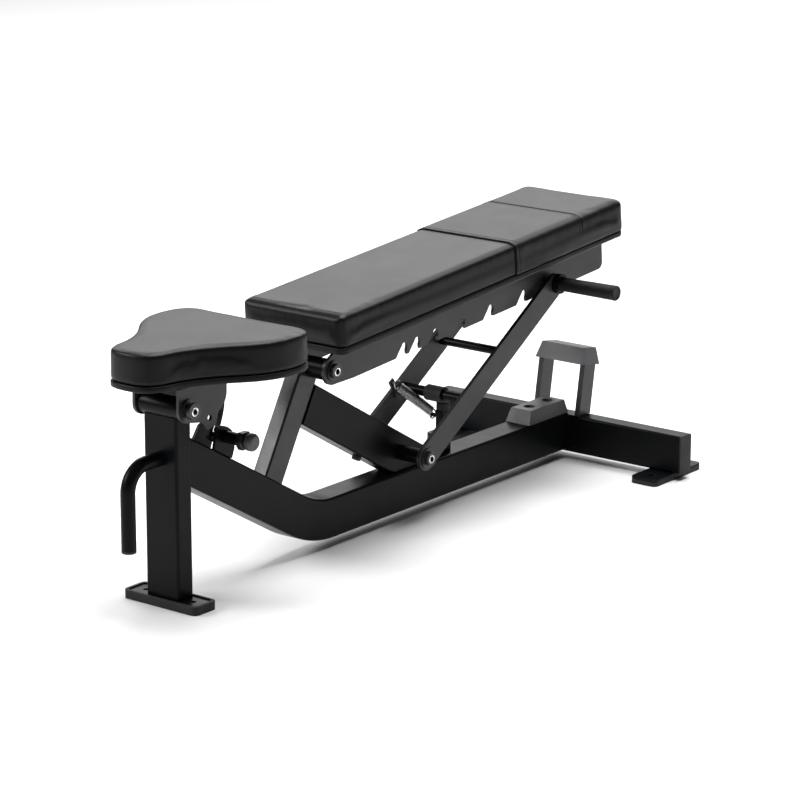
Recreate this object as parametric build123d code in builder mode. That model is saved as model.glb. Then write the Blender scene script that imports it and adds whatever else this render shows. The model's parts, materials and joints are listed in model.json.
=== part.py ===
"""Adjustable weight bench: steel frame, ladder-supported back, tilting seat.

Millimetres. +Z up, bench length along +Y (seat end at -Y, head end at +Y).
Origin: on the floor, on the centre line, under the front face of the front post.
"""
import os
from math import cos, sin, tan, radians, atan2, degrees, hypot
from build123d import *

os.makedirs("parts", exist_ok=True)

# ---------------------------------------------------------------- dimensions
wall = 3.0                       # tube wall
tube_r = 5.0                     # outer corner radius of the big tubes

post_w, post_d = 78.0, 40.0      # front post, X x Y
post_z0, post_top = 14.0, 354.0

seat_y, seat_z = 14.0, 370.0      # seat pivot axis
seat_tube_r, seat_tube_half = 20.0, 48.5
seat_plate_x, seat_plate_t = 49.0, 6.0

beam_w, beam_h = 60.0, 80.0      # main beam, X x perpendicular height
beam_z0 = 20.0
slope = 30.0                     # deg, front part of the main beam and the brace
beam_bend_y = 409.7              # where the sloping top line meets the level top line
cross_y, cross_d = 1230.0, 40.0  # rear cross-beam
cross_z0, cross_h, cross_len = 14.0, 80.0, 617.0

back_y, back_z = 404.0, 364.0    # back hinge axis
back_tube_r, back_tube_half = 20.5, 58.0
plate_x, plate_t = 62.0, 6.0     # saw-tooth plates
tooth_edge_drop = 76.0           # lower edge of the plates under the deck plane
deck_y, deck_z = 369.0, 407.0    # front end of the deck plane (underside of the board)
deck_tilt = 4.5                  # deg, head end up, in the lowest position
pad_len, pad_half = 921.0, 121.5
board_t, pad_top = 12.0, 74.0

ladder_y, ladder_z = 673.6, 136.8  # ladder pivot axis
rod_y, rod_z = 1105.1, 405.4       # support rod axis, seated in the last notch
rod_r = 8.0
arm_x, arm_t, arm_w = 76.0, 8.0, 50.0
axle_r, run_fit = 8.0, 0.05
notch_pitch = (217.0, 257.7, 316.0, 403.0, 497.0, 609.0)  # rod seat distances from the hinge

leg_w, leg_d, leg_dir = 34.0, 54.0, 60.5
brace_w, brace_h = 40.0, 80.0
pin_y, pin_z, pin_r = 140.0, 290.0, 5.0


def along(y, z, ang, d):
    """Point at distance d from (y, z) in direction ang degrees in the YZ plane."""
    return (y + d * cos(radians(ang)), z + d * sin(radians(ang)))


def beam_top(y):
    return beam_z0 + beam_h + (beam_bend_y - y) * tan(radians(slope))


def save(builder, label):
    builder.part.label = label
    export_step(builder.part, f"parts/{label}.step")


def yz(x):
    """Sketch plane facing +X at height x: local x is world Y, local y is world Z."""
    return Plane(origin=(x, 0, 0), x_dir=(0, 1, 0), z_dir=(1, 0, 0))


deck = Plane(origin=(0, deck_y, deck_z), x_dir=(1, 0, 0),
             z_dir=(0, -sin(radians(deck_tilt)), cos(radians(deck_tilt))))


def deck_point(s, h):
    """World (y, z) of a point s along the deck plane and h above it."""
    a = radians(deck_tilt)
    return (deck_y + s * cos(a) - h * sin(a), deck_z + s * sin(a) + h * cos(a))


# ---------------------------------------------------------------- front foot
foot_w, foot_y0, foot_y1 = 176.0, -11.0, 49.0
foot_mid = (foot_y0 + foot_y1) / 2
with BuildPart() as front_foot_boot:
    with BuildSketch(Plane.XY):
        with Locations((0, foot_mid)):
            RectangleRounded(foot_w, foot_y1 - foot_y0, 12)
    extrude(amount=16.5)
    fillet(front_foot_boot.faces().sort_by(Axis.Z)[-1].edges(), 1.5)
    with BuildSketch(Plane.XY.offset(10)):
        with Locations((0, foot_mid)):
            RectangleRounded(163.0, 49.0, 7)
    extrude(amount=12, mode=Mode.SUBTRACT)
    with BuildSketch(Plane.XY):
        with Locations((-57, foot_mid), (57, foot_mid)):
            Circle(8)
    extrude(amount=11, mode=Mode.SUBTRACT)
save(front_foot_boot, "front_foot_boot")

with BuildPart() as front_foot_plate:
    with BuildSketch(Plane.XY.offset(10)):
        with Locations((0, foot_mid)):
            RectangleRounded(162.4, 48.4, 6.7)
        with Locations((-57, foot_mid), (57, foot_mid)):
            Circle(5.5, mode=Mode.SUBTRACT)
    extrude(amount=post_z0 - 10)
save(front_foot_plate, "front_foot_plate")

# ---------------------------------------------------------------- front post
with BuildPart() as front_post:
    with BuildSketch(Plane.XY.offset(post_z0)):
        with Locations((0, post_d / 2)):
            RectangleRounded(post_w, post_d, tube_r)
            RectangleRounded(post_w - 2 * wall, post_d - 2 * wall, tube_r - wall, mode=Mode.SUBTRACT)
    extrude(amount=post_top - post_z0)
    with BuildSketch(Plane.XY.offset(post_top - wall)):
        with Locations((0, post_d / 2)):
            RectangleRounded(post_w - 1, post_d - 1, tube_r - 1)
    extrude(amount=wall)
    with BuildSketch(yz(-60)):
        with Locations((seat_y, seat_z)):
            Circle(seat_tube_r)
    extrude(amount=120, mode=Mode.SUBTRACT)
save(front_post, "front_post")

with BuildPart() as seat_pivot_tube:
    with BuildSketch(yz(-seat_tube_half)):
        with Locations((seat_y, seat_z)):
            Circle(seat_tube_r)
            Circle(axle_r, mode=Mode.SUBTRACT)
    extrude(amount=2 * seat_tube_half)
save(seat_pivot_tube, "seat_pivot_tube")

# ---------------------------------------------------------------- front handle
handle_r, handle_z, handle_y, handle_end = 13.5, 275.0, -86.0, 126.0
with BuildPart() as front_handle:
    with BuildLine(Plane.YZ) as handle_path:
        l1 = Line((0, handle_z), (handle_y + 46, handle_z))
        l2 = RadiusArc(l1 @ 1, (handle_y, handle_z - 46), -46)
        l3 = Line(l2 @ 1, (handle_y, handle_end))
    with BuildSketch(Plane(origin=(0, 0, handle_z), z_dir=(0, -1, 0))):
        Circle(handle_r)
        Circle(handle_r - 2.5, mode=Mode.SUBTRACT)
    sweep()
save(front_handle, "front_handle")

with BuildPart() as handle_cap:
    with BuildSketch(Plane(origin=(0, handle_y, handle_end - 5))):
        Circle(handle_r)
    extrude(amount=5)
    with BuildSketch(Plane(origin=(0, handle_y, handle_end))):
        Circle(handle_r - 2.5)
    extrude(amount=12)
    fillet(handle_cap.edges().sort_by(Axis.Z)[0], 2)
save(handle_cap, "handle_cap")

# ---------------------------------------------------------------- main beam
beam_z1 = beam_z0 + beam_h
drop = beam_h / cos(radians(slope))
low_bend_y = beam_bend_y - beam_h * tan(radians(slope / 2))


def beam_outline(inset, ends):
    y0, y1 = post_d - ends, cross_y + ends
    top0 = beam_top(y0) - inset / cos(radians(slope))
    low0 = beam_top(y0) - drop + inset / cos(radians(slope))
    b_top = beam_bend_y - inset * tan(radians(slope / 2))
    b_low = low_bend_y + inset * tan(radians(slope / 2))
    return [(y0, top0), (b_top, beam_z1 - inset), (y1, beam_z1 - inset),
            (y1, beam_z0 + inset), (b_low, beam_z0 + inset), (y0, low0)]


def near_bend(found, point):
    return [v for v in found if abs(v.X - point[0]) < 1 and abs(v.Y - point[1]) < 1]


with BuildPart() as main_beam:
    with BuildSketch(yz(-beam_w / 2)):
        with BuildLine():
            pts = beam_outline(0, 0)
            Polyline(*pts, close=True)
        make_face()
        fillet(near_bend(vertices(), pts[1]), 170)
        fillet(near_bend(vertices(), pts[4]), 250)
    extrude(amount=beam_w)
    long_edges = [e for e in main_beam.edges()
                  if abs(abs(e.center().X) - beam_w / 2) < 0.01 and e.length > 30
                  and not (abs(e.center().Y - post_d) < 0.01 or abs(e.center().Y - cross_y) < 0.01)]
    fillet(long_edges, tube_r)
    with BuildSketch(yz(-beam_w / 2 + wall)):
        with BuildLine():
            ipts = beam_outline(wall, 1)
            Polyline(*ipts, close=True)
        make_face()
        fillet(near_bend(vertices(), ipts[1]), 170 + wall)
        fillet(near_bend(vertices(), ipts[4]), 250 - wall)
    extrude(amount=beam_w - 2 * wall, mode=Mode.SUBTRACT)
    # slot for the seat sector
    with BuildSketch(Plane.XY.offset(210)):
        with Locations((0, 125)):
            Rectangle(13, 90)
    extrude(amount=100, mode=Mode.SUBTRACT)
save(main_beam, "main_beam")

# ---------------------------------------------------------------- rear cross-beam
cap_t = 3.0
tube_half = cross_len / 2 - cap_t
with BuildPart() as cross_beam:
    with BuildSketch(yz(-tube_half)):
        with Locations((cross_y + cross_d / 2, cross_z0 + cross_h / 2)):
            RectangleRounded(cross_d, cross_h, tube_r)
            RectangleRounded(cross_d - 2 * wall, cross_h - 2 * wall, tube_r - wall, mode=Mode.SUBTRACT)
    extrude(amount=2 * tube_half)
save(cross_beam, "cross_beam")

for side, sgn in (("left", -1), ("right", 1)):
    x_tube = sgn * tube_half
    with BuildPart() as end_cap:
        with BuildSketch(yz(x_tube if sgn > 0 else x_tube - cap_t)):
            with Locations((cross_y + cross_d / 2, cross_z0 + cross_h / 2)):
                RectangleRounded(cross_d, cross_h, tube_r)
        extrude(amount=cap_t)
        with BuildSketch(yz(x_tube - 12 if sgn > 0 else x_tube)):
            with Locations((cross_y + cross_d / 2, cross_z0 + cross_h / 2)):
                RectangleRounded(cross_d - 2 * wall - 0.4, cross_h - 2 * wall - 0.4, tube_r - wall)
        extrude(amount=12)
    save(end_cap, f"end_cap_{side}")

    # rear foot: steel plate on a rubber pad
    fx = sgn * 262.0
    with BuildPart() as foot_pad:
        with BuildSketch(Plane.XY):
            with Locations((fx, cross_y + cross_d / 2)):
                RectangleRounded(62, 174, 11)
            with Locations((fx, 1192), (fx, 1308)):
                Circle(8, mode=Mode.SUBTRACT)
        extrude(amount=9)
    save(foot_pad, f"rear_foot_pad_{side}")
    with BuildPart() as foot_plate:
        with BuildSketch(Plane.XY.offset(9)):
            with Locations((fx, cross_y + cross_d / 2)):
                RectangleRounded(62, 174, 11)
            with Locations((fx, 1192), (fx, 1308)):
                Circle(5.5, mode=Mode.SUBTRACT)
        extrude(amount=cross_z0 - 9)
        fillet(foot_plate.faces().sort_by(Axis.Z)[-1].outer_wire().edges(), 1.2)
    save(foot_plate, f"rear_foot_plate_{side}")

# ---------------------------------------------------------------- leaning leg and brace
lu = (cos(radians(leg_dir)), sin(radians(leg_dir)))
ln = (sin(radians(leg_dir)), -cos(radians(leg_dir)))


def leg_pt(u, n):
    return (back_y + u * lu[0] + n * ln[0], back_z + u * lu[1] + n * ln[1])


def leg_on_beam(n):
    """Distance down the leg at offset n where it meets the sloping top of the beam."""
    t = tan(radians(slope))
    y0, z0 = leg_pt(0, n)
    u = (beam_z1 + (beam_bend_y - y0) * t - z0) / (lu[1] + t * lu[0])
    return leg_pt(u, n)


leg_end = -16.0
with BuildPart() as support_leg:
    with BuildSketch(yz(-leg_w / 2)):
        with BuildLine():
            Polyline(leg_on_beam(-leg_d / 2), leg_on_beam(leg_d / 2),
                     leg_pt(leg_end, leg_d / 2), leg_pt(leg_end, -leg_d / 2), close=True)
        make_face()
    extrude(amount=leg_w)
    run = [e for e in support_leg.edges() if abs(abs(e.center().X) - leg_w / 2) < 0.01 and e.length > 110]
    fillet(run, 4)
    with BuildSketch(yz(-leg_w / 2 + wall)):
        with BuildLine():
            a = leg_on_beam(-leg_d / 2 + wall)
            b = leg_on_beam(leg_d / 2 - wall)
            Polyline((a[0] - 2 * lu[0], a[1] - 2 * lu[1]), (b[0] - 2 * lu[0], b[1] - 2 * lu[1]),
                     leg_pt(-24, leg_d / 2 - wall), leg_pt(-24, -leg_d / 2 + wall), close=True)
        make_face()
    extrude(amount=leg_w - 2 * wall, mode=Mode.SUBTRACT)
    with BuildSketch(yz(-40)):
        with Locations((back_y, back_z)):
            Circle(back_tube_r)
    extrude(amount=80, mode=Mode.SUBTRACT)
save(support_leg, "support_leg")

with BuildPart() as back_pivot_tube:
    with BuildSketch(yz(-back_tube_half)):
        with Locations((back_y, back_z)):
            Circle(back_tube_r)
            Circle(axle_r, mode=Mode.SUBTRACT)
    extrude(amount=2 * back_tube_half)
save(back_pivot_tube, "back_pivot_tube")

ts = tan(radians(slope))
leg_back = leg_pt(0, leg_d / 2)


def brace_line(top_at, y):
    return top_at - ts * (y - 411.8)


def brace_at_leg(z_ref):
    t = (brace_line(z_ref, leg_back[0]) - leg_back[1]) / (lu[1] + ts * lu[0])
    return (leg_back[0] + t * lu[0], leg_back[1] + t * lu[1])


brace_top_ref = 329.1
brace_low_ref = brace_top_ref - brace_h / cos(radians(slope))
brace_tip = 762.0
with BuildPart() as brace:
    with BuildSketch(yz(-brace_w / 2)):
        with BuildLine():
            Polyline(brace_at_leg(brace_top_ref), (brace_tip, brace_line(brace_top_ref, brace_tip)),
                     (brace_tip, beam_z1), (411.8 + (brace_low_ref - beam_z1) / ts, beam_z1),
                     brace_at_leg(brace_low_ref), close=True)
        make_face()
    extrude(amount=brace_w)
    run = [e for e in brace.edges() if abs(abs(e.center().X) - brace_w / 2) < 0.01 and e.length > 250]
    fillet(run, 4)
    # hollow, open where it meets the leg
    w = wall / cos(radians(slope))
    with BuildSketch(yz(-brace_w / 2 + wall)):
        with BuildLine():
            p = brace_at_leg(brace_top_ref - w)
            q = brace_at_leg(brace_low_ref + w)
            Polyline((p[0] - 2, p[1] + 2 * ts), (620, brace_line(brace_top_ref - w, 620)),
                     (620, brace_line(brace_low_ref + w, 620)), (q[0] - 2, q[1] + 2 * ts), close=True)
        make_face()
    extrude(amount=brace_w - 2 * wall, mode=Mode.SUBTRACT)
    with BuildSketch(yz(-40)):
        with Locations((ladder_y, ladder_z)):
            Circle(15)
    extrude(amount=80, mode=Mode.SUBTRACT)
save(brace, "brace")

with BuildPart() as brace_plug:
    mid = (560.0, brace_line(brace_low_ref, 560.0))
    with BuildSketch(Plane(origin=(0, mid[0], mid[1]), x_dir=(1, 0, 0),
                           z_dir=(0, -sin(radians(slope)), -cos(radians(slope))))):
        Circle(9)
    extrude(amount=7)
save(brace_plug, "brace_plug")

with BuildPart() as ladder_pivot_tube:
    with BuildSketch(yz(-75.5)):
        with Locations((ladder_y, ladder_z)):
            Circle(15)
            Circle(axle_r, mode=Mode.SUBTRACT)
    extrude(amount=151)
save(ladder_pivot_tube, "ladder_pivot_tube")


# ---------------------------------------------------------------- hinge axles
def axle(y, z, outer, washer_r, head_r, neck, label, left_head=True):
    """Shaft through a hinge with a washer, neck and socket head on both ends."""
    with BuildPart() as a:
        with BuildSketch(yz(-(outer + 0.3))):
            with Locations((y, z)):
                Circle(axle_r)
        extrude(amount=2 * (outer + 0.3))
        for s in (-1, 1):
            base = outer + 0.3
            headed = s > 0 or left_head
            for r, t in ((washer_r, 3.0), (head_r - 5, neck), (head_r, 6.0)) if headed else ((washer_r - 3, 1.5),):
                with BuildSketch(yz(s * base if s > 0 else -(base + t))):
                    with Locations((y, z)):
                        Circle(r)
                extrude(amount=t)
                base += t
            if headed:
                with BuildSketch(yz(s * base)):
                    with Locations((y, z)):
                        RegularPolygon(5, 6)
                extrude(amount=-4.5 * s, mode=Mode.SUBTRACT)
    save(a, label)


axle(seat_y, seat_z, seat_plate_x + seat_plate_t, 20.0, 16.0, 8.0, "seat_axle", left_head=False)
axle(back_y, back_z, plate_x + plate_t, 19.0, 14.0, 2.0, "back_axle")
axle(ladder_y, ladder_z, arm_x + arm_t, 20.0, 14.0, 2.0, "ladder_axle")

# ---------------------------------------------------------------- seat lock bracket
br_t = 6.0
for side, x0 in (("left", -beam_w / 2), ("right", beam_w / 2 - br_t)):
    with BuildPart() as lock_plate:
        with BuildSketch(yz(x0)):
            with BuildLine():
                p0 = (112, beam_top(112))
                p1 = (160, beam_top(160))
                a1 = Line(p0, (120, 310) if side == "right" else (134, 302))
                a2 = ThreePointArc(a1 @ 1, (150, 305), (168, 284))
                Line(a2 @ 1, (167, 262))
                Line((167, 262), p1)
                Line(p1, p0)
            make_face()
            if side == "right":
                with Locations((pin_y, pin_z)):
                    Circle(pin_r + run_fit, mode=Mode.SUBTRACT)
        extrude(amount=br_t)
    save(lock_plate, f"lock_plate_{side}")

x_h = beam_w / 2
with BuildPart() as pin_housing:
    with BuildSketch(yz(x_h)):
        with Locations((pin_y, pin_z)):
            Circle(11.5)
            Circle(pin_r + run_fit, mode=Mode.SUBTRACT)
    extrude(amount=38)
save(pin_housing, "pin_housing")

with BuildPart() as pin_nut:
    with BuildSketch(yz(x_h + 38)):
        with Locations((pin_y, pin_z)):
            RegularPolygon(18.5, 6)
            Circle(pin_r + run_fit, mode=Mode.SUBTRACT)
    extrude(amount=14)
    chamfer([e for e in pin_nut.edges() if e.length > 15 and abs(abs(e.center().X - x_h - 45) - 7) < 0.1], 1.5)
save(pin_nut, "pin_nut")

knob_x = x_h + 38 + 14 + 0.5
pin_tip = -7.0
with BuildPart() as pin_shaft:
    with BuildSketch(yz(pin_tip)):
        with Locations((pin_y, pin_z)):
            Circle(pin_r)
    extrude(amount=knob_x + 15 - pin_tip)
    chamfer(pin_shaft.faces().sort_by(Axis.X)[0].edges(), 1.5)
save(pin_shaft, "pin_shaft")

with BuildPart() as pin_knob:
    with BuildSketch(yz(knob_x)):
        with Locations((pin_y, pin_z)):
            Circle(9)
    extrude(amount=4)
    with BuildSketch(yz(knob_x + 4)):
        with Locations((pin_y, pin_z)):
            Circle(16.5)
    extrude(amount=16)
    fillet(pin_knob.faces().sort_by(Axis.X)[-1].edges(), 7)
    fillet([e for e in pin_knob.edges() if abs(e.center().X - knob_x - 4) < 0.01 and e.length > 90], 4)
    with BuildSketch(yz(knob_x)):
        with Locations((pin_y, pin_z)):
            Circle(pin_r)
    extrude(amount=15, mode=Mode.SUBTRACT)
save(pin_knob, "pin_knob")

# ---------------------------------------------------------------- rest post, beam cover, storage bracket
post_ry = 836.0
anchor = (828.0, 173.0)           # lower spring anchor, Y and Z
with BuildPart() as rest_post:
    with BuildSketch(Plane.XY.offset(beam_z1)):
        with Locations((0, post_ry)):
            RectangleRounded(18, 30, 3)
    extrude(amount=86)
    with BuildSketch(yz(-23)):
        with Locations(anchor):
            Circle(4)
    extrude(amount=15)
    with BuildSketch(yz(-25)):
        with Locations(anchor):
            Circle(6)
    extrude(amount=2)
save(rest_post, "rest_post")

with BuildPart() as rest_bumper:
    with BuildSketch(Plane(origin=(0, post_ry, beam_z1 + 86))):
        Circle(14)
    extrude(amount=16)
    fillet(rest_bumper.edges().sort_by(Axis.Z)[-1], 3)
save(rest_bumper, "rest_bumper")

cov_y0, cov_y1, cov_top = 1091.0, cross_y, 128.0
with BuildPart() as beam_cover:
    with BuildSketch(Plane.XY.offset(beam_z1)):
        with Locations((0, (cov_y0 + cov_y1) / 2)):
            Rectangle(60, cov_y1 - cov_y0)
    with BuildSketch(Plane.XY.offset(cov_top)):
        with Locations((0, (cov_y0 + 12 + cov_y1 - 8) / 2)):
            Rectangle(50, cov_y1 - cov_y0 - 20)
    loft()
    fillet(beam_cover.faces().sort_by(Axis.Z)[-1].edges(), 2)
    with BuildSketch(Plane.XY.offset(cov_top)):
        with Locations((0, 1132), (0, 1196)):
            Circle(12)
    extrude(amount=-16, mode=Mode.SUBTRACT)
save(beam_cover, "beam_cover")

stand_x, stand_t, stand_d, stand_lean = 46.0, 12.0, 40.0, 9.5
stand_z0, stand_z1 = cross_z0 + cross_h, 199.0
lean_s, lean_c = sin(radians(stand_lean)), cos(radians(stand_lean))
cap_mid = cross_y + stand_d / 2 + (stand_z1 - stand_z0) * lean_s / lean_c
for side, x0 in (("left", -stand_x - stand_t), ("right", stand_x)):
    with BuildPart() as stand_leg:
        with BuildSketch(yz(x0)):
            with BuildLine():
                e = stand_d / 2 * lean_c
                Polyline((cross_y, stand_z0), (cross_y + stand_d, stand_z0),
                         (cap_mid + e * lean_c, stand_z1 - e * lean_s),
                         (cap_mid - e * lean_c, stand_z1 + e * lean_s), close=True)
            make_face()
        extrude(amount=stand_t)
    save(stand_leg, f"stand_leg_{side}")

cap_plane = Plane(origin=(0, cap_mid, stand_z1), x_dir=(1, 0, 0), z_dir=(0, lean_s, lean_c))
with BuildPart() as stand_cap:
    with BuildSketch(cap_plane):
        Rectangle(118, 66)
    with BuildSketch(cap_plane.offset(35)):
        Rectangle(102, 50)
    loft()
    fillet(stand_cap.faces().sort_by(Axis.Z)[-1].edges(), 2)
save(stand_cap, "stand_cap")

# ---------------------------------------------------------------- seat
flange_z = 412.5
for side, x0 in (("left", -seat_plate_x - seat_plate_t), ("right", seat_plate_x)):
    with BuildPart() as seat_plate:
        with BuildSketch(yz(x0)):
            with BuildLine():
                s1 = Line((-9, flange_z), (-10, seat_z))
                s2 = ThreePointArc(s1 @ 1, (seat_y - 24 * sin(radians(45)), seat_z - 24 * cos(radians(45))),
                                   (seat_y, seat_z - 24))
                s3 = Line(s2 @ 1, (50, 340))
                s4 = Line(s3 @ 1, (66, 322))
                s5 = Line(s4 @ 1, (89, 328))
                s6 = Line(s5 @ 1, (96, 352))
                s7 = ThreePointArc(s6 @ 1, (112, 364), (119, 382))
                Line(s7 @ 1, (119, flange_z))
                Line((119, flange_z), (-9, flange_z))
            make_face()
            with Locations((seat_y, seat_z)):
                Circle(axle_r + run_fit, mode=Mode.SUBTRACT)
            with Locations((72, 344)):
                Circle(5.5, mode=Mode.SUBTRACT)
        extrude(amount=seat_plate_t)
    save(seat_plate, f"seat_plate_{side}")

sec_r = hypot(pin_y - seat_y, pin_z - seat_z)
sec_a = degrees(atan2(pin_z - seat_z, pin_y - seat_y))
with BuildPart() as seat_sector:
    with BuildSketch(yz(-4)):
        with BuildLine():
            c0 = along(seat_y, seat_z, sec_a + 20, sec_r + 11)
            cm = along(seat_y, seat_z, sec_a + 8, sec_r + 11)
            c1 = along(seat_y, seat_z, sec_a - 4.5, sec_r + 11)
            d1 = along(seat_y, seat_z, sec_a - 4.5, sec_r - 12)
            dm = along(seat_y, seat_z, sec_a + 8, sec_r - 12)
            d0 = along(seat_y, seat_z, sec_a + 16, sec_r - 12)
            k1 = ThreePointArc(c0, cm, c1)
            Line(k1 @ 1, d1)
            k2 = ThreePointArc(d1, dm, d0)
            Line(k2 @ 1, (110, flange_z))
            Line((110, flange_z), (178, flange_z))
            Line((178, flange_z), c0)
        make_face()
        # three lock positions joined by a slot as wide as the pin
        for step in (0, 8, 16):
            with Locations(along(seat_y, seat_z, sec_a + step, sec_r)):
                Circle(pin_r + 1.2, mode=Mode.SUBTRACT)
        sr, hw = sec_r, pin_r + 0.4
        with BuildLine():
            o1 = ThreePointArc(along(seat_y, seat_z, sec_a, sr + hw), along(seat_y, seat_z, sec_a + 8, sr + hw),
                               along(seat_y, seat_z, sec_a + 16, sr + hw))
            o2 = ThreePointArc(along(seat_y, seat_z, sec_a + 16, sr - hw), along(seat_y, seat_z, sec_a + 8, sr - hw),
                               along(seat_y, seat_z, sec_a, sr - hw))
            Line(o1 @ 1, o2 @ 0)
            Line(o2 @ 1, o1 @ 0)
        make_face(mode=Mode.SUBTRACT)
    extrude(amount=8)
save(seat_sector, "seat_sector")

with BuildPart() as seat_carrier:
    with BuildSketch(Plane.XY.offset(flange_z)):
        with Locations((0, 84)):
            RectangleRounded(120, 200, 8)
        with Locations((-32, 16), (32, 16), (-32, 150), (32, 150)):
            Circle(4.5, mode=Mode.SUBTRACT)
    extrude(amount=4)
save(seat_carrier, "seat_carrier")

seat_outline = [(40, -79), (58, -53), (66, -17), (82, 23), (106, 61), (138, 103), (156, 143)]
board_z0, board_z1, seat_top = 416.5, 427.5, 486.5


def seat_face():
    """Right half of the seat outline: narrow nose, concave waist, wide rounded rear."""
    pts = [(0, -87), *seat_outline, (161, 186)]
    slope = [(44, 0)] + [((q[0] - p[0]) / 2, (q[1] - p[1]) / 2) for p, q in zip(pts, pts[2:])] + [(0, 42)]
    for p, q, m, n in zip(pts, pts[1:], slope, slope[1:]):
        Bezier(p, (p[0] + m[0] / 3, p[1] + m[1] / 3), (q[0] - n[0] / 3, q[1] - n[1] / 3), q)
    Bezier((161, 186), (161, 227), (146, 248), (112, 248))
    Line((112, 248), (0, 248))
    mirror(about=Plane.YZ)


with BuildPart() as seat_board:
    with BuildSketch(Plane.XY.offset(board_z0)):
        with BuildLine():
            seat_face()
        make_face()
        with Locations((-32, 16), (32, 16), (-32, 150), (32, 150)):
            Circle(4.0, mode=Mode.SUBTRACT)
    extrude(amount=board_z1 - board_z0)
save(seat_board, "seat_board")

with BuildPart() as seat_pad:
    with BuildSketch(Plane.XY.offset(board_z1 + 0.3)):
        with BuildLine():
            seat_face()
        make_face()
    extrude(amount=seat_top - board_z1 - 0.3)
save(seat_pad, "seat_pad")

with BuildPart() as seat_bolts:
    for bx, by in ((-32, 16), (32, 16), (-32, 150), (32, 150)):
        with BuildSketch(Plane(origin=(bx, by, flange_z - 5))):
            RegularPolygon(7, 6)
        extrude(amount=5)
        with BuildSketch(Plane(origin=(bx, by, flange_z))):
            Circle(4.0)
        extrude(amount=14)
save(seat_bolts, "seat_bolts")

# ---------------------------------------------------------------- back: saw-tooth plates
a_d = radians(deck_tilt)


def to_plate(y, z):
    """(s, h) in the deck frame of a world point."""
    dy, dz = y - deck_y, z - deck_z
    return (dy * cos(a_d) + dz * sin(a_d), -dy * sin(a_d) + dz * cos(a_d))


hinge_s, hinge_h = to_plate(back_y, back_z)
rod_s, rod_h = to_plate(rod_y, rod_z)
seat_h = rod_h                     # height of every rod seat in the deck frame
edge_h = -tooth_edge_drop
rear_s = 918.0
seats = [hinge_s + (d ** 2 - (seat_h - hinge_h) ** 2) ** 0.5 for d in notch_pitch] + [rod_s]


def notch(s, ramp=28.0):
    """Notch outline around a rod seat at s: ramp in front, hooked wall behind."""
    up = seat_h
    return [(s - ramp - 1, edge_h - 1), (s - ramp, edge_h), (s - 8.3, up + 3.6), (s - 5.4, up + 7.2), (s, up + 8.9),
            (s + 4.6, up + 7.8), (s + 7.9, up + 4.4), (s + 8.8, up), (s + 8.0, up - 4.8), (s + 6.0, up - 9.0),
            (s + 6.4, edge_h), (s + 6.4, edge_h - 1)]


for side, x0 in (("left", -plate_x - plate_t), ("right", plate_x)):
    with BuildPart() as back_plate:
        with BuildSketch(yz(x0)):
            with BuildLine():
                r0 = 27.0
                bot = (hinge_s + (hinge_h - r0 - edge_h) * 0, edge_h)
                q0 = deck_point(hinge_s, hinge_h - r0)
                q1 = along(back_y, back_z, 180 + deck_tilt, r0)
                q2 = along(back_y, back_z, 118, r0)
                m1 = along(back_y, back_z, 225 + deck_tilt, r0)
                m2 = along(back_y, back_z, 150, r0)
                e1 = ThreePointArc(q0, m1, q1)
                e2 = ThreePointArc(q1, m2, q2)
                t0 = deck_point(62, 0)
                Line(q2, t0)
                t1 = deck_point(rear_s, 0)
                Line(t0, t1)
                t2 = deck_point(rear_s, edge_h + 14)
                Line(t1, t2)
                t3 = deck_point(rear_s - 14, edge_h)
                ThreePointArc(t2, deck_point(rear_s - 4.1, edge_h + 4.1), t3)
                t4 = deck_point(hinge_s + 60, edge_h)
                Line(t3, t4)
                Line(t4, q0)
            make_face()
            for s in seats:
                with BuildLine():
                    Polyline(*[deck_point(*q) for q in notch(s, 32.0 if s == seats[-1] else 28.0)], close=True)
                make_face(mode=Mode.SUBTRACT)
            with Locations((back_y, back_z)):
                Circle(axle_r + run_fit, mode=Mode.SUBTRACT)
        extrude(amount=plate_t)
    save(back_plate, f"back_plate_{side}")

for label, s0, s1 in (("back_cross_front", 66, 126), ("back_cross_middle", 400, 460), ("back_cross_rear", 846, 906)):
    with BuildPart() as cross:
        with BuildSketch(deck):
            with Locations((0, (s0 + s1) / 2)):
                Rectangle(2 * plate_x, s1 - s0)
            with Locations((-30, (s0 + s1) / 2), (30, (s0 + s1) / 2)):
                Circle(4.5, mode=Mode.SUBTRACT)
        extrude(amount=-5)
    save(cross, label)

with BuildPart() as back_board:
    with BuildSketch(deck):
        with Locations((0, pad_len / 2)):
            RectangleRounded(2 * pad_half, pad_len, 14)
        for c in (96, 430, 876):
            with Locations((-30, c), (30, c)):
                Circle(4.0, mode=Mode.SUBTRACT)
    extrude(amount=board_t)
save(back_board, "back_board")

with BuildPart() as back_pad:
    with BuildSketch(deck.offset(board_t + 0.3)):
        with Locations((0, pad_len / 2)):
            RectangleRounded(2 * pad_half, pad_len, 14)
    extrude(amount=pad_top - board_t - 0.3)
save(back_pad, "back_pad")

cover_s, cover_t = 543.0, 3.0
with BuildPart() as head_cover:
    with BuildSketch(deck.offset(board_t + 0.3)):
        with Locations((0, (cover_s + pad_len + 0.3 + cover_t) / 2)):
            Rectangle(2 * (pad_half + 0.3 + cover_t), pad_len + 0.3 + cover_t - cover_s)
    extrude(amount=pad_top - board_t + cover_t)
    upright = [e for e in head_cover.edges() if e.length < 70 and e.length > 50
               and e.center().Y > deck_y + 900]
    fillet(upright, 17.3)
    with BuildSketch(deck.offset(board_t - 1)):
        with Locations((0, (pad_len + 0.3) / 2)):
            RectangleRounded(2 * (pad_half + 0.3), pad_len + 0.3, 14.3)
    extrude(amount=pad_top + 0.3 - board_t + 1, mode=Mode.SUBTRACT)
save(head_cover, "head_cover")

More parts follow.
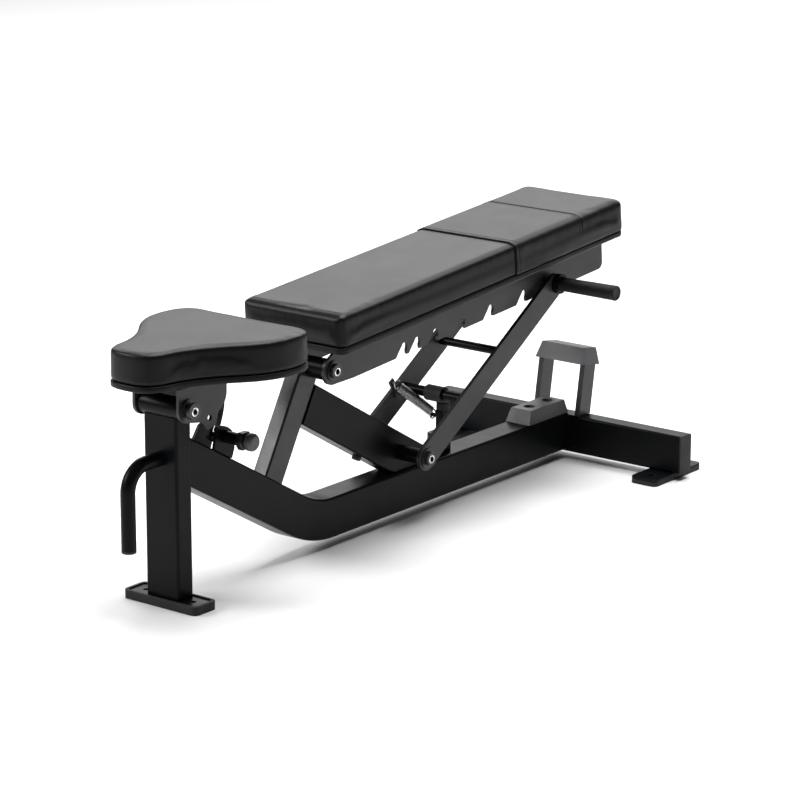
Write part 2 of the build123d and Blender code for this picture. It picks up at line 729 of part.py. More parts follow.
with BuildPart() as back_bolts:
    for c in (96, 430, 876):
        for bx in (-30, 30):
            with BuildSketch(deck.offset(-10)):
                with Locations((bx, c)):
                    RegularPolygon(7, 6)
            extrude(amount=5)
            with BuildSketch(deck.offset(-5)):
                with Locations((bx, c)):
                    Circle(4.0)
            extrude(amount=15)
save(back_bolts, "back_bolts")

# ---------------------------------------------------------------- ladder
arm_ang = degrees(atan2(rod_z - ladder_z, rod_y - ladder_y))
arm_len = hypot(rod_z - ladder_z, rod_y - ladder_y)


def arm_pt(u, n):
    a = radians(arm_ang)
    return (ladder_y + u * cos(a) - n * sin(a), ladder_z + u * sin(a) + n * cos(a))


ear = arm_pt(133, 42)              # spring stud on the left arm
stud_x = -56.0
for side, x0 in (("left", -arm_x - arm_t), ("right", arm_x)):
    with BuildPart() as arm:
        with BuildSketch(yz(x0)):
            with BuildLine():
                h = arm_w / 2
                b1 = ThreePointArc(arm_pt(0, h), arm_pt(-h, 0), arm_pt(0, -h))
                Line(b1 @ 1, arm_pt(arm_len - 6, -h))
                b2 = ThreePointArc(arm_pt(arm_len - 6, -h), arm_pt(arm_len + 17, 0), arm_pt(arm_len - 6, h))
                Line(b2 @ 1, b1 @ 0)
            make_face()
            with Locations((ladder_y, ladder_z)):
                Circle(axle_r + run_fit, mode=Mode.SUBTRACT)
            with Locations((rod_y, rod_z)):
                Circle(rod_r, mode=Mode.SUBTRACT)
        extrude(amount=arm_t)
        if side == "left":
            with BuildSketch(yz(-arm_x)):
                with BuildLine():
                    Polyline(arm_pt(126, 8), arm_pt(140, 8), arm_pt(140, 48), arm_pt(126, 48), close=True)
                make_face()
            extrude(amount=4)
            with BuildSketch(yz(-arm_x)):
                with Locations(ear):
                    Circle(4.0)
            extrude(amount=arm_x + stud_x)
            with BuildSketch(yz(stud_x)):
                with Locations(ear):
                    Circle(6)
            extrude(amount=2)
    save(arm, f"ladder_arm_{side}")

grip_x0, grip_x1 = 95.0, 228.5
with BuildPart() as top_rod:
    with BuildSketch(yz(-arm_x - arm_t - 6)):
        with Locations((rod_y, rod_z)):
            Circle(rod_r)
    extrude(amount=arm_x + arm_t + 6 + grip_x1 - 8)
save(top_rod, "top_rod")

with BuildPart() as grip_flange:
    with BuildSketch(yz(arm_x + arm_t)):
        with Locations((rod_y, rod_z)):
            Circle(20)
            Circle(rod_r, mode=Mode.SUBTRACT)
    extrude(amount=grip_x0 - arm_x - arm_t)
save(grip_flange, "grip_flange")

with BuildPart() as rod_nut:
    with BuildSketch(yz(-arm_x - arm_t - 6)):
        with Locations((rod_y, rod_z)):
            Circle(15)
            Circle(rod_r, mode=Mode.SUBTRACT)
    extrude(amount=6)
save(rod_nut, "rod_collar_left")

with BuildPart() as pull_grip:
    with BuildSketch(yz(grip_x0)):
        with Locations((rod_y, rod_z)):
            Circle(15.5)
    extrude(amount=grip_x1 - grip_x0)
    fillet(pull_grip.faces().sort_by(Axis.X)[-1].edges(), 2.5)
    with BuildSketch(yz(grip_x0)):
        with Locations((rod_y, rod_z)):
            Circle(rod_r)
    extrude(amount=grip_x1 - 8 - grip_x0, mode=Mode.SUBTRACT)
save(pull_grip, "pull_grip")

mid_y, mid_z = arm_pt(302, 0)
low_y, low_z = arm_pt(163, 0)
with BuildPart() as middle_rod:
    with BuildSketch(yz(-arm_x)):
        with Locations((mid_y, mid_z)):
            Circle(8.5)
    extrude(amount=2 * arm_x)
save(middle_rod, "middle_rod")

with BuildPart() as lower_rod:
    with BuildSketch(yz(-arm_x)):
        with Locations((low_y, low_z)):
            Circle(10.5)
    extrude(amount=2 * arm_x)
save(lower_rod, "lower_rod")

with BuildPart() as rod_sleeve:
    with BuildSketch(yz(-20)):
        with Locations((low_y, low_z)):
            Circle(16)
            Circle(10.5, mode=Mode.SUBTRACT)
    extrude(amount=40)
save(rod_sleeve, "rod_sleeve")

# ---------------------------------------------------------------- return spring
wire_r, coil_r, ring_r = 1.5, 9.0, 9.0
up_v = Vector(-61, ear[0], ear[1])
low_v = Vector(-18.5, anchor[0], anchor[1])
down = (Vector(0, low_v.Y, low_v.Z) - Vector(0, up_v.Y, up_v.Z)).normalized()
slack = ring_r - wire_r - 4.0 - 0.3
up_c = up_v + down * slack
low_c = low_v - down * slack
up_e = up_c + down * ring_r
low_e = low_c - down * ring_r
axis_v = (low_e - up_e).normalized()
body_len = (low_e - up_e).length
turns = int(body_len / (2 * wire_r + 0.1))
pitch = body_len / turns
with BuildPart() as return_spring:
    with BuildSketch(Plane.XZ):
        with Locations(*[(coil_r, (i + 0.5) * pitch) for i in range(turns)]):
            Circle(wire_r)
        with Locations((coil_r, body_len / 2)):
            Rectangle(0.8, body_len - 1.0)
    revolve(axis=Axis.Z)
    with BuildSketch(Plane.XY):
        Circle(coil_r)
    extrude(amount=1.6)
    with BuildSketch(Plane.XY.offset(body_len - 1.6)):
        Circle(coil_r)
    extrude(amount=1.6)
return_spring.part = Plane(origin=up_e, z_dir=axis_v).location * return_spring.part
rings = [Plane(origin=c, z_dir=(1, 0, 0)).location * Solid.make_torus(ring_r, wire_r)
         for c in (up_c, low_c)]
joined = return_spring.part + rings[0] + rings[1]
joined.label = "return_spring"
export_step(joined, "parts/return_spring.step")
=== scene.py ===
import json
import math

import bmesh
import bpy
from mathutils import Matrix, Vector, noise
from mathutils.bvhtree import BVHTree


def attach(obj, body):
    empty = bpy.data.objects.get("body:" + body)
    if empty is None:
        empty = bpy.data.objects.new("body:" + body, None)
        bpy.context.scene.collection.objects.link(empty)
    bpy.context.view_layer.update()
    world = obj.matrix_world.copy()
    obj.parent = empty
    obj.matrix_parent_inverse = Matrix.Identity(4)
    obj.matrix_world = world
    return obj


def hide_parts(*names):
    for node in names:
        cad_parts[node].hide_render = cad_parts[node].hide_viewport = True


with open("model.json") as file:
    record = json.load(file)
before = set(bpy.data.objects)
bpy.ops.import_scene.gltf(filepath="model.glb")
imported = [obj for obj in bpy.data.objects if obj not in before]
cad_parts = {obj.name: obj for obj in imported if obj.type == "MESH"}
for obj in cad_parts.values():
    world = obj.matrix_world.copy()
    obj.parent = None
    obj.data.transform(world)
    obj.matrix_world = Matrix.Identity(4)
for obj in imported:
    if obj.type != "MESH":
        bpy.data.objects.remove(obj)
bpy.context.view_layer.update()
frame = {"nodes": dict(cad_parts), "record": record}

scene = bpy.context.scene


# ------------------------------------------------------------------ camera
cam_data = bpy.data.cameras.new("camera")
cam_data.sensor_width = 36.0
cam_data.lens = 139.36
cam_data.clip_end = 60.0
cam = bpy.data.objects.new("camera", cam_data)
scene.collection.objects.link(cam)
yaw, pitch, roll = math.radians(37.672), math.radians(15.182), math.radians(0.163)
look = Vector((-math.sin(yaw) * math.cos(pitch), math.cos(yaw) * math.cos(pitch), -math.sin(pitch)))
cam.matrix_world = (Matrix.Translation((3.5575, -3.9123, 1.8141))
                    @ look.to_track_quat("-Z", "Y").to_matrix().to_4x4() @ Matrix.Rotation(roll, 4, "Z"))
scene.camera = cam
scene.view_settings.view_transform = "Standard"
scene.view_settings.look = "None"


# ------------------------------------------------------------------ materials
def material(name, base, rough, metallic=0.0, spec=0.5, vary=0.15, vary_scale=9.0, grain=(), coat=0.0,
             rough_vary=0.06, tint=None, sheen=0.0):
    """A procedural finish. grain is a list of (kind, scale, strength, distance)."""
    m = bpy.data.materials.new(name)
    m.use_nodes = True
    nt = m.node_tree
    bsdf = nt.nodes["Principled BSDF"]
    bsdf.inputs["Metallic"].default_value = metallic
    bsdf.inputs["Specular IOR Level"].default_value = spec
    bsdf.inputs["Coat Weight"].default_value = coat
    bsdf.inputs["Coat Roughness"].default_value = 0.25
    if sheen:
        bsdf.inputs["Sheen Weight"].default_value = sheen
        bsdf.inputs["Sheen Roughness"].default_value = 0.45
    co = nt.nodes.new("ShaderNodeTexCoord")

    def tex(kind, scale):
        if kind == "voronoi":
            t = nt.nodes.new("ShaderNodeTexVoronoi")
            t.feature = "F1"
            out = t.outputs["Distance"]
        elif kind == "wave":
            t = nt.nodes.new("ShaderNodeTexWave")
            t.bands_direction = "X"
            t.inputs["Distortion"].default_value = 0.0
            out = t.outputs["Fac"]
        else:
            t = nt.nodes.new("ShaderNodeTexNoise")
            t.inputs["Detail"].default_value = 4.0
            out = t.outputs["Fac"]
        t.inputs["Scale"].default_value = scale
        nt.links.new(co.outputs["Object"], t.inputs["Vector"])
        return out

    ramp = nt.nodes.new("ShaderNodeValToRGB")
    low = [c * (1 - vary) for c in base]
    high = [c * (1 + vary) for c in (tint or base)]
    ramp.color_ramp.elements[0].position = 0.3
    ramp.color_ramp.elements[1].position = 0.7
    ramp.color_ramp.elements[0].color = (*low, 1)
    ramp.color_ramp.elements[1].color = (*high, 1)
    nt.links.new(tex("noise", vary_scale), ramp.inputs["Fac"])
    nt.links.new(ramp.outputs["Color"], bsdf.inputs["Base Color"])
    rr = nt.nodes.new("ShaderNodeMapRange")
    rr.inputs["From Min"].default_value = 0.3
    rr.inputs["From Max"].default_value = 0.7
    rr.inputs["To Min"].default_value = rough - rough_vary
    rr.inputs["To Max"].default_value = rough + rough_vary
    nt.links.new(tex("noise", vary_scale * 3.1), rr.inputs["Value"])
    nt.links.new(rr.outputs["Result"], bsdf.inputs["Roughness"])
    last = None
    for kind, scale, strength, distance in grain:
        b = nt.nodes.new("ShaderNodeBump")
        b.inputs["Strength"].default_value = strength
        b.inputs["Distance"].default_value = distance
        nt.links.new(tex(kind, scale), b.inputs["Height"])
        if last:
            nt.links.new(last.outputs["Normal"], b.inputs["Normal"])
        last = b
    if last:
        nt.links.new(last.outputs["Normal"], bsdf.inputs["Normal"])
    return m


PAINT = material("powder_coat", (0.0034, 0.0038, 0.0046), 0.34, spec=0.09, vary=0.2, vary_scale=7.0,
                 grain=[("noise", 1500.0, 0.16, 0.0004), ("noise", 260.0, 0.05, 0.0006)], rough_vary=0.03)
# a brighter copy of the same black powder coat, not a different finish: painted light on the flat bars, arms and plates
PAINT_LIT_COPY = material("powder_coat_lit_copy", (0.022, 0.022, 0.024), 0.40, spec=0.36, vary=0.15, vary_scale=7.0,
                grain=[("noise", 1500.0, 0.16, 0.0004), ("noise", 260.0, 0.05, 0.0006)], rough_vary=0.03)
# another copy of the same powder coat for the support leg, set darker than the bright copy to paint the shade on the
# leg's side faces
PAINT_LEG_SHADE_COPY = material("powder_coat_leg_shade_copy", (0.010, 0.010, 0.011), 0.32, spec=0.38, vary=0.12, vary_scale=7.0,
               grain=(("noise", 1100.0, 0.05, 0.0002),))
VINYL = material("pad_vinyl", (0.0048, 0.0051, 0.0059), 0.40, spec=0.18, vary=0.10, vary_scale=5.0,
                 grain=[("voronoi", 950.0, 0.20, 0.0003), ("noise", 70.0, 0.07, 0.0012)], rough_vary=0.015)
BAND = material("band_vinyl", (0.0055, 0.0055, 0.0062), 0.42, spec=0.17, vary=0.12, vary_scale=6.0,
                grain=[("voronoi", 950.0, 0.22, 0.0003), ("noise", 120.0, 0.12, 0.001)], rough_vary=0.02)
COVER = material("cover_vinyl", (0.0065, 0.0068, 0.0078), 0.42, spec=0.19, vary=0.12, vary_scale=6.0,
                 grain=[("voronoi", 1100.0, 0.22, 0.0003), ("noise", 80.0, 0.10, 0.0012)], rough_vary=0.015)
RUBBER = material("foot_rubber", (0.016, 0.016, 0.018), 0.66, spec=0.35, vary=0.25, vary_scale=12.0,
                  grain=[("noise", 700.0, 0.30, 0.0005)])
GRIP = material("grip_rubber", (0.0085, 0.0082, 0.0098), 0.56, spec=0.22, vary=0.2, vary_scale=15.0,
                grain=[("noise", 1800.0, 0.5, 0.0004)])
PLASTIC = material("black_plastic", (0.085, 0.083, 0.089), 0.46, spec=0.45, vary=0.15, vary_scale=10.0,
                   grain=[("voronoi", 1300.0, 0.35, 0.0003), ("noise", 300.0, 0.08, 0.0006)])
STEEL = material("bright_steel", (0.42, 0.42, 0.43), 0.30, metallic=1.0, vary=0.12, vary_scale=40.0,
                 grain=[("noise", 900.0, 0.10, 0.0003)])
DARK = material("black_oxide", (0.030, 0.031, 0.034), 0.34, metallic=0.35, spec=0.5, vary=0.2, vary_scale=30.0,
                grain=[("noise", 1200.0, 0.12, 0.0003)])
RING = material("bare_steel", (0.78, 0.78, 0.78), 0.24, metallic=1.0, vary=0.08, vary_scale=60.0,
                grain=[("noise", 1400.0, 0.08, 0.0002)])
THREAD = material("thread", (0.010, 0.010, 0.011), 0.7, spec=0.3, vary=0.3, vary_scale=400.0,
                  grain=[("noise", 3000.0, 0.5, 0.0003)])
LINING = material("under_cloth", (0.012, 0.012, 0.012), 0.85, spec=0.25, vary=0.2, vary_scale=25.0,
                  grain=[("noise", 2200.0, 0.6, 0.0003)])
FINISH = {"frame_paint": PAINT, "foot_rubber": RUBBER, "grip_rubber": GRIP, "black_plastic": PLASTIC,
          "bright_steel": STEEL, "bolt_steel": DARK, "board": BAND, "pad_vinyl": VINYL, "cover_vinyl": COVER}
for row in frame["record"]["subparts"]:
    node = frame["nodes"][row["node"]]
    node.data.materials.clear()
    node.data.materials.append(FINISH[row["material_slot"]])
# arms, plates and stand legs get the brighter copy of the powder coat, which paints light on them
for name in ("ladder_arm_left", "ladder_arm_right", "back_plate_left", "back_plate_right", "stand_leg_left",
             "stand_leg_right", "seat_plate_left", "seat_plate_right", "support_leg"):
    frame["nodes"][name].data.materials[0] = PAINT_LIT_COPY
# the support leg gets its own copy of the powder coat, which paints its shade
frame["nodes"]["support_leg"].data.materials[0] = PAINT_LEG_SHADE_COPY
for name in ("handle_cap", "end_cap_left", "end_cap_right", "rod_sleeve", "brace_plug"):
    frame["nodes"][name].data.materials[0] = RUBBER


# ------------------------------------------------------------------ mesh helpers
def add_mesh(name, verts, faces, mat, smooth=True):
    me = bpy.data.meshes.new(name)
    me.from_pydata([tuple(v) for v in verts], [], faces)
    me.update()
    for p in me.polygons:
        p.use_smooth = smooth
    me.materials.append(mat)
    o = bpy.data.objects.new(name, me)
    scene.collection.objects.link(o)
    return o


def fix_normals(o):
    bm = bmesh.new()
    bm.from_mesh(o.data)
    bmesh.ops.recalc_face_normals(bm, faces=bm.faces)
    bm.to_mesh(o.data)
    bm.free()


def spread(points, count):
    """A closed polyline resampled to count even points."""
    pts = [Vector(p) for p in points] + [Vector(points[0])]
    run = [0.0]
    for a, b in zip(pts, pts[1:]):
        run.append(run[-1] + (b - a).length)
    out, k = [], 0
    for i in range(count):
        d = run[-1] * i / count
        while run[k + 1] < d:
            k += 1
        t = (d - run[k]) / max(run[k + 1] - run[k], 1e-9)
        out.append(pts[k].lerp(pts[k + 1], t))
    return out


def inset(poly, d):
    """A counter-clockwise outline moved inwards by d."""
    n = len(poly)
    out = []
    for i in range(n):
        t = (poly[(i + 1) % n] - poly[i - 1]).normalized()
        out.append(poly[i] + Vector((-t.y, t.x)) * d)
    return out


def rings_to_object(name, outline, profile, mat):
    """A closed body from an outline and (inset, height) rows, capped at both ends."""
    n = len(outline)
    verts, faces = [], []
    for d, h in profile:
        verts += [(p.x, p.y, h) for p in inset(outline, d)]
    for r in range(len(profile) - 1):
        for i in range(n):
            j = (i + 1) % n
            faces.append((r * n + i, r * n + j, (r + 1) * n + j, (r + 1) * n + i))
    faces.append(tuple(range(n - 1, -1, -1)))
    faces.append(tuple((len(profile) - 1) * n + i for i in range(n)))
    return add_mesh(name, verts, faces, mat)


def bake(o):
    """Replaces the mesh with its evaluated one and drops the modifiers."""
    dg = bpy.context.evaluated_depsgraph_get()
    me = bpy.data.meshes.new_from_object(o.evaluated_get(dg))
    old = o.data
    o.modifiers.clear()
    o.data = me
    bpy.data.meshes.remove(old)
    for p in me.polygons:
        p.use_smooth = True


def edge_profile(h0, h1, top_r, low_in=0.0012, bulge=0.0):
    """Side rows of a pad: slightly tucked at the bottom, a rounded top edge."""
    rows = [(0.004, h0), (low_in, h0 + 0.0006), (0.0, h0 + 0.0026)]
    mid = 6
    for i in range(1, mid):
        t = i / mid
        rows.append((-bulge * math.sin(math.pi * t), h0 + 0.0026 + (h1 - top_r - h0 - 0.0026) * t))
    for i in range(0, 7):
        a = math.radians(90 * i / 6)
        rows.append((top_r * (1 - math.cos(a)), h1 - top_r * (1 - math.sin(a))))
    return rows


def puff(o, low, cap, voxel, pressure=4.0, frames=20):
    """Voxel remesh, then swell the skin with cloth pressure while its underside is held."""
    rm = o.modifiers.new("remesh", "REMESH")
    rm.mode = "VOXEL"
    rm.voxel_size = voxel
    rm.use_smooth_shade = True
    bake(o)
    start = [v.co.copy() for v in o.data.vertices]
    facing = [v.normal.copy() for v in o.data.vertices]
    g = o.vertex_groups.new(name="held")
    for i, c in enumerate(start):
        k = 1.0 - min(max((c.z - low - 0.004) / 0.012, 0.0), 1.0)
        if k > 0:
            g.add([i], k, "REPLACE")
    cl = o.modifiers.new("cloth", "CLOTH")
    st = cl.settings
    st.quality = 4
    st.mass = 0.35
    st.tension_stiffness = 25
    st.compression_stiffness = 20
    st.shear_stiffness = 12
    st.bending_stiffness = 3.0
    st.use_pressure = True
    st.uniform_pressure_force = pressure
    st.vertex_group_mass = "held"
    st.effector_weights.gravity = 0.0
    cl.collision_settings.use_collision = False
    cl.point_cache.frame_start = 1
    cl.point_cache.frame_end = frames
    for f in range(1, frames + 1):
        scene.frame_set(f)
    dg = bpy.context.evaluated_depsgraph_get()
    ev = o.evaluated_get(dg)
    moved = [v.co.copy() for v in ev.data.vertices]
    o.modifiers.clear()
    scene.frame_set(1)
    for v, a, b, n in zip(o.data.vertices, start, moved, facing):
        d = b - a
        out = d.dot(n)
        along = (d - n * out) * 0.35
        if along.length > 0.0008:
            along *= 0.0008 / along.length
        v.co = a + n * min(max(out, -0.0003), cap) + along
    o.vertex_groups.clear()
    bm = bmesh.new()
    bm.from_mesh(o.data)
    for _ in range(2):
        bmesh.ops.smooth_vert(bm, verts=bm.verts, factor=0.5, use_axis_x=True, use_axis_y=True, use_axis_z=True)
    bm.to_mesh(o.data)
    bm.free()
    ss = o.modifiers.new("subdivide", "SUBSURF")
    ss.levels = ss.render_levels = 1
    bake(o)


def pucker(o, low, high, amount, seed, reach=0.020):
    """Short creases that run over the top edge, where the skin is pulled round the foam, and long soft dents."""
    me = o.data
    normals = [v.normal.copy() for v in me.vertices]
    for v, n in zip(me.vertices, normals):
        c = v.co
        edge = max(0.0, 1 - abs(c.z - (high - 0.012)) / reach) * min(1.0, (1.0 - n.z) * 2.2) * min(1.0, n.z * 4 + 0.35)
        p = Vector((c.x * 62, c.y * 62, c.z * 9 + seed))
        fine = noise.noise(p) + 0.5 * noise.noise(p * 2.3)
        soft = noise.noise(Vector((c.x * 11, c.y * 7, c.z * 22 + seed * 3)))
        side = 1.0 - min(1.0, abs(n.z))
        v.co = c + n * (amount * (edge * fine * 0.75 + side * soft * 0.55))


# ------------------------------------------------------------------ deck frame of the back
TILT = math.radians(4.5)
DECK = Matrix.Translation((0, 0.369, 0.407)) @ Matrix.Rotation(TILT, 4, "X")
LEN, HALF = 0.921, 0.1215


def to_deck(o):
    o.data.transform(DECK)
    o.data.update()


def rounded_rect(x, y0, y1, r, per=14):
    pts = []
    for cx, cy, a0 in ((x - r, y0 + r, -90), (x - r, y1 - r, 0), (-x + r, y1 - r, 90), (-x + r, y0 + r, 180)):
        for i in range(per + 1):
            a = math.radians(a0 + 90 * i / per)
            pts.append((cx + r * math.cos(a), cy + r * math.sin(a)))
    return pts


# back pad
pad_line = spread(rounded_rect(HALF - 0.0004, 0.0004, LEN - 0.0004, 0.0135), 420)
pad = rings_to_object("back_pad_skin", pad_line, edge_profile(0.0124, 0.0734, 0.0075), VINYL)
puff(pad, 0.0124, 0.0022, 0.0046)
for v in pad.data.vertices:
    if v.co.z < 0.0128:
        v.co.z = 0.0128
# the seat end of the pad is rolled over with a larger radius than its sides
ROLL = 0.017
for v in pad.data.vertices:
    d = Vector((v.co.y - ROLL, v.co.z - (0.0745 - ROLL)))
    if d.x < 0 and d.y > 0 and d.length > ROLL:
        d *= ROLL / d.length
        v.co.y, v.co.z = d.x + ROLL, d.y + 0.0745 - ROLL
pad.data.update()
pucker(pad, 0.0124, 0.074, 0.0009, 3.0)

# head cover: a sleeve pulled over the head end of the pad, cut from the pad's own skin
COVER_S, SEAM_S = 0.5435, 0.769
cover = add_mesh("head_cover_skin", [v.co for v in pad.data.vertices],
                 [tuple(p.vertices) for p in pad.data.polygons], COVER)
bm = bmesh.new()
bm.from_mesh(cover.data)
bmesh.ops.bisect_plane(bm, geom=bm.verts[:] + bm.edges[:] + bm.faces[:], plane_co=(0, COVER_S, 0),
                       plane_no=(0, 1, 0), clear_inner=True)
bmesh.ops.bisect_plane(bm, geom=bm.verts[:] + bm.edges[:] + bm.faces[:], plane_co=(0, 0, 0.0150),
                       plane_no=(0, 0, 1), clear_inner=True)
for s in (COVER_S + 0.0015, COVER_S + 0.003, COVER_S + 0.0075, COVER_S + 0.009, COVER_S + 0.0105,
          SEAM_S - 0.005, SEAM_S - 0.0025, SEAM_S - 0.0009, SEAM_S, SEAM_S + 0.0009, SEAM_S + 0.0025, SEAM_S + 0.005):
    bmesh.ops.bisect_plane(bm, geom=bm.verts[:] + bm.edges[:] + bm.faces[:], plane_co=(0, s, 0), plane_no=(0, 1, 0))
bm.normal_update()
push = {}
for v in bm.verts:
    n, s = v.normal, v.co.y
    h = 0.0030
    top = min(1.0, max(0.0, (v.co.z - 0.040) / 0.02))
    h += 0.0006 * math.exp(-((abs(s - SEAM_S) - 0.0045) / 0.003) ** 2) * top
    h -= 0.0019 * math.exp(-((s - SEAM_S) / 0.0011) ** 2) * top
    h -= 0.0007 * math.exp(-((s - COVER_S - 0.009) / 0.0012) ** 2)
    h -= 0.0007 * math.exp(-((s - COVER_S) / 0.0014) ** 2)
    # slack folds low on the sides near the open end and at the head corners
    h += 0.0006 * noise.noise(Vector((v.co.x * 14, s * 34, v.co.z * 30 + 5))) * (1.0 - min(1.0, abs(n.z)))
    push[v] = n * h
for v, d in push.items():
    v.co += d
bm.to_mesh(cover.data)
bm.free()
sol = cover.modifiers.new("thickness", "SOLIDIFY")
sol.thickness = 0.0022
sol.offset = -1.0
sol.use_rim = True
bake(cover)

# stitches along the cover's seams
bm = bmesh.new()
bm.from_mesh(cover.data)
tree = BVHTree.FromBMesh(bm)
bm.free()


def stitch_row(path, normal_hint, verts, faces, length=0.0030, gap=0.0016, half=0.00035):
    """Thread pieces laid along a path of (point, direction) samples."""
    for p, t, n in path:
        side = t.cross(n).normalized() * half
        a, b = p - t * length / 2, p + t * length / 2
        k = len(verts)
        for q, f in ((a, 0.25), (p, 1.0), (b, 0.25)):
            for u, w in ((side, 0), (n * half * 1.3, 1), (-side, 0), (-n * half, 1)):
                verts.append(q + u * f + n * half * 0.4)
        for r in range(2):
            for i in range(4):
                j = (i + 1) % 4
                faces.append((k + r * 4 + i, k + r * 4 + j, k + (r + 1) * 4 + j, k + (r + 1) * 4 + i))
        faces.append((k, k + 1, k + 2, k + 3))
        faces.append((k + 11, k + 10, k + 9, k + 8))


sv, sf = [], []
for s in (SEAM_S + 0.0042, COVER_S + 0.009):
    path = []
    x = -0.108
    while x <= 0.108:
        hit, n, _, _ = tree.ray_cast(Vector((x, s, 0.12)), Vector((0, 0, -1)))
        if hit:
            path.append((hit, Vector((1, 0, 0)), n))
        x += 0.0045
    stitch_row(path, None, sv, sf)
for sgn in (-1, 1):
    path = []
    z = 0.020
    while z <= 0.060:
        hit, n, _, _ = tree.ray_cast(Vector((sgn * 0.2, COVER_S + 0.009, z)), Vector((-sgn, 0, 0)))
        if hit:
            path.append((hit, Vector((0, 0, 1)), n))
        z += 0.0045
    stitch_row(path, None, sv, sf)
stitches = add_mesh("cover_stitches", sv, sf, THREAD)

# vinyl-wrapped board under the back pad: reads as the trim band
band_line = spread(rounded_rect(HALF, 0, LEN, 0.014), 420)
band = rings_to_object("back_band", band_line,
                       [(0.030, 0.0004), (0.0030, 0.0002), (0.0010, 0.0004), (0.0001, 0.0012), (-0.0004, 0.0030),
                        (-0.0004, 0.0098), (0.0000, 0.0113), (0.0009, 0.0121), (0.0022, 0.0124), (0.012, 0.0124)], BAND)
band.data.materials.append(LINING)
band.data.polygons[len(band.data.polygons) - 2].material_index = 1
for o in (pad, cover, stitches, band):
    fix_normals(o)
    to_deck(o)
    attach(o, "back")
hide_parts("back_pad")
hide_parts("head_cover")
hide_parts("back_board")

# ------------------------------------------------------------------ seat
SIDE = [(0, -87), (40, -79), (58, -53), (66, -17), (82, 23), (106, 61), (138, 103), (156, 143), (161, 186)]
slope = [(44, 0)] + [((q[0] - p[0]) / 2, (q[1] - p[1]) / 2) for p, q in zip(SIDE, SIDE[2:])] + [(0, 42)]


def bezier(a, b, c, d, count):
    out = []
    for i in range(count):
        t = i / count
        u = 1 - t
        out.append(tuple(u ** 3 * a[k] + 3 * u * u * t * b[k] + 3 * u * t * t * c[k] + t ** 3 * d[k] for k in (0, 1)))
    return out


half = []
for p, q, m, n in zip(SIDE, SIDE[1:], slope, slope[1:]):
    half += bezier(p, (p[0] + m[0] / 3, p[1] + m[1] / 3), (q[0] - n[0] / 3, q[1] - n[1] / 3), q, 24)
half += bezier((161, 186), (161, 227), (146, 248), (112, 248), 30)
half += [(112 - 112 * i / 40, 248) for i in range(41)]
full = [(x / 1000, y / 1000) for x, y in half] + [(-x / 1000, y / 1000) for x, y in reversed(half[1:-1])]
seat_line = spread(full, 400)
seat = rings_to_object("seat_pad_skin", inset(seat_line, 0.0004), edge_profile(0.4281, 0.4859, 0.0060), VINYL)
puff(seat, 0.4281, 0.0016, 0.0044)
for v in seat.data.vertices:
    if v.co.z < 0.4284:
        v.co.z = 0.4284
pucker(seat, 0.4281, 0.4865, 0.0006, 11.0)
seat_band = rings_to_object("seat_band", seat_line,
                            [(0.026, 0.4169), (0.0030, 0.4167), (0.0010, 0.4169), (0.0001, 0.4177), (-0.0004, 0.4195),
                             (-0.0004, 0.4257), (0.0000, 0.4269), (0.0009, 0.4277), (0.0020, 0.4280), (0.012, 0.4280)],
                            BAND)
seat_band.data.materials.append(LINING)
seat_band.data.polygons[len(seat_band.data.polygons) - 2].material_index = 1
for o in (seat, seat_band):
    fix_normals(o)
    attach(o, "seat")
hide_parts("seat_pad")
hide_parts("seat_board")


# ------------------------------------------------------------------ turned pieces
def lathe(name, center, profile, mat, body, segments=64):
    """A body turned about an axis along X; profile is (x, radius) rows."""
    verts, faces = [], []
    rows = [(x, r) for x, r in profile if r > 0]
    for x, r in rows:
        for i in range(segments):
            a = 2 * math.pi * i / segments
            verts.append((x, center[0] + r * math.cos(a), center[1] + r * math.sin(a)))
    for k in range(len(rows) - 1):
        for i in range(segments):
            j = (i + 1) % segments
            faces.append((k * segments + i, k * segments + j, (k + 1) * segments + j, (k + 1) * segments + i))
    faces.append(tuple(range(segments)))
    faces.append(tuple((len(rows) - 1) * segments + i for i in range(segments)))
    o = add_mesh(name, verts, faces, mat)
    fix_normals(o)
    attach(o, body)
    return o


ROD = (1.1051, 0.4054)
rows = [(0.0952, 0.0118), (0.0956, 0.0138), (0.0966, 0.0146)]
x = 0.0972
while x < 0.2215:
    t = (x - 0.0952) / 0.133
    r = 0.0139 + 0.0014 * t
    rows += [(x, r), (x + 0.0004, r - 0.00035), (x + 0.0010, r - 0.00035), (x + 0.0014, r)]
    x += 0.0031
rows += [(0.2222, 0.0153), (0.2255, 0.0155), (0.2272, 0.0150), (0.2282, 0.0140), (0.2285, 0.0126), (0.2281, 0.0118),
         (0.2280, 0.0040)]
grip = lathe("pull_grip_sleeve", ROD, rows, GRIP, "ladder", 72)
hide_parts("pull_grip")


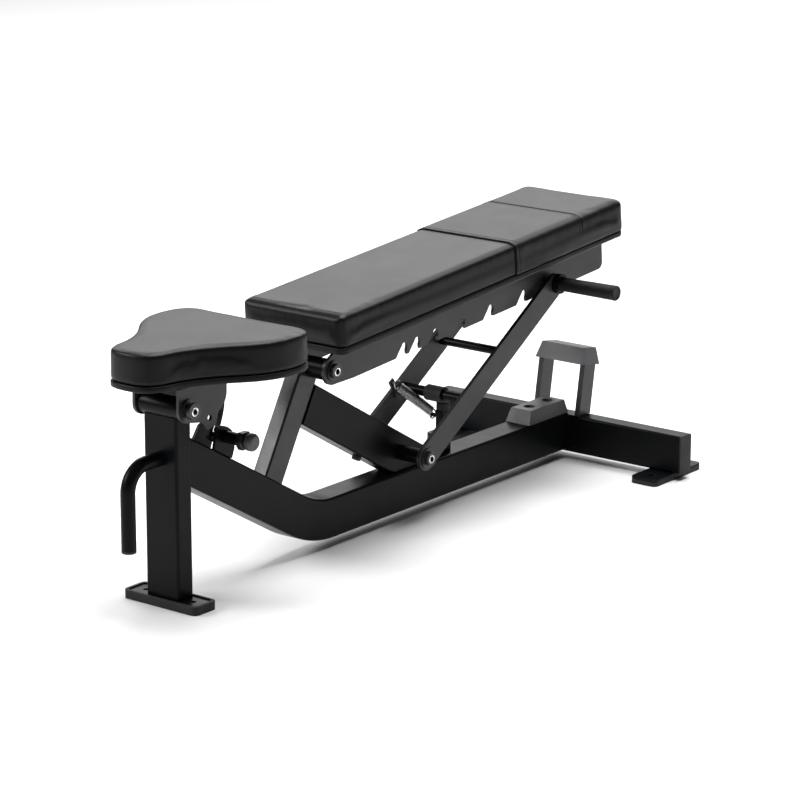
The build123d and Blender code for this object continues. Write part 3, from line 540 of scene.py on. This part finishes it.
def socket_ring(name, center, x, sgn, inner, outer):
    """Bare metal rim round a hex socket."""
    n = 48
    verts, faces = [], []
    for r_in, dx in ((inner, -0.0006), (inner, 0.0), (None, 0.0004), (outer, 0.0), (outer, -0.0006)):
        for i in range(n):
            a = 2 * math.pi * i / n
            r = (inner + outer) / 2 if r_in is None else r_in
            if r_in == inner:
                k = (a % (math.pi / 3)) - math.pi / 6
                r = inner * math.cos(math.pi / 6) / math.cos(k)
            verts.append((x + sgn * dx, center[0] + r * math.cos(a), center[1] + r * math.sin(a)))
    for k in range(4):
        for i in range(n):
            j = (i + 1) % n
            faces.append((k * n + i, k * n + j, (k + 1) * n + j, (k + 1) * n + i))
    for i in range(n):
        j = (i + 1) % n
        faces.append((4 * n + i, 4 * n + j, j, i))
    o = add_mesh(name, verts, faces, RING)
    fix_normals(o)
    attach(o, "frame")
    return o


for label, center, outer, neck in (("seat", (0.014, 0.370), 55.0, 8.0), ("back", (0.404, 0.364), 68.0, 2.0),
                                   ("ladder", (0.6736, 0.1368), 84.0, 2.0)):
    face = (outer + 0.3 + 3 + neck + 6) / 1000
    for side, sgn in (("left", -1), ("right", 1)):
        if label == "seat" and side == "left":
            continue
        socket_ring(f"{label}_socket_{side}", center, sgn * (face + 0.0001), sgn, 0.0056, 0.0086)


# ------------------------------------------------------------------ stage and light
floor_mat = material("studio_floor", (0.86, 0.86, 0.86), 0.75, spec=0.1, vary=0.01, vary_scale=0.6, rough_vary=0.02)
floor = add_mesh("studio_floor", [(-30, -30, 0), (30, -30, 0), (30, 30, 0), (-30, 30, 0)], [(0, 1, 2, 3)], floor_mat)
world = bpy.data.worlds.new("studio")
scene.world = world
world.use_nodes = True
world.node_tree.nodes["Background"].inputs["Color"].default_value = (1, 1, 1, 1)
world.node_tree.nodes["Background"].inputs["Strength"].default_value = 0.07


def soft_box(name, place, aim, size, power):
    d = bpy.data.lights.new(name, "AREA")
    d.shape = "RECTANGLE"
    d.size, d.size_y = size
    d.energy = power
    o = bpy.data.objects.new(name, d)
    scene.collection.objects.link(o)
    o.location = place
    o.rotation_euler = (Vector(aim) - Vector(place)).to_track_quat("-Z", "Y").to_euler()


soft_box("overhead", (0.0, 1.3, 4.2), (0, 0.7, 0), (3.2, 3.2), 300)
soft_box("front_left", (-2.6, -2.3, 2.45), (0, 0.4, 0.3), (2.0, 1.5), 105)
soft_box("far", (-5.5, 9.0, 5.0), (-5.5, 9.0, 0), (11.0, 9.0), 620)
soft_box("behind", (-3.9, 5.6, 3.1), (0, 0.7, 0.35), (9.0, 3.2), 125)
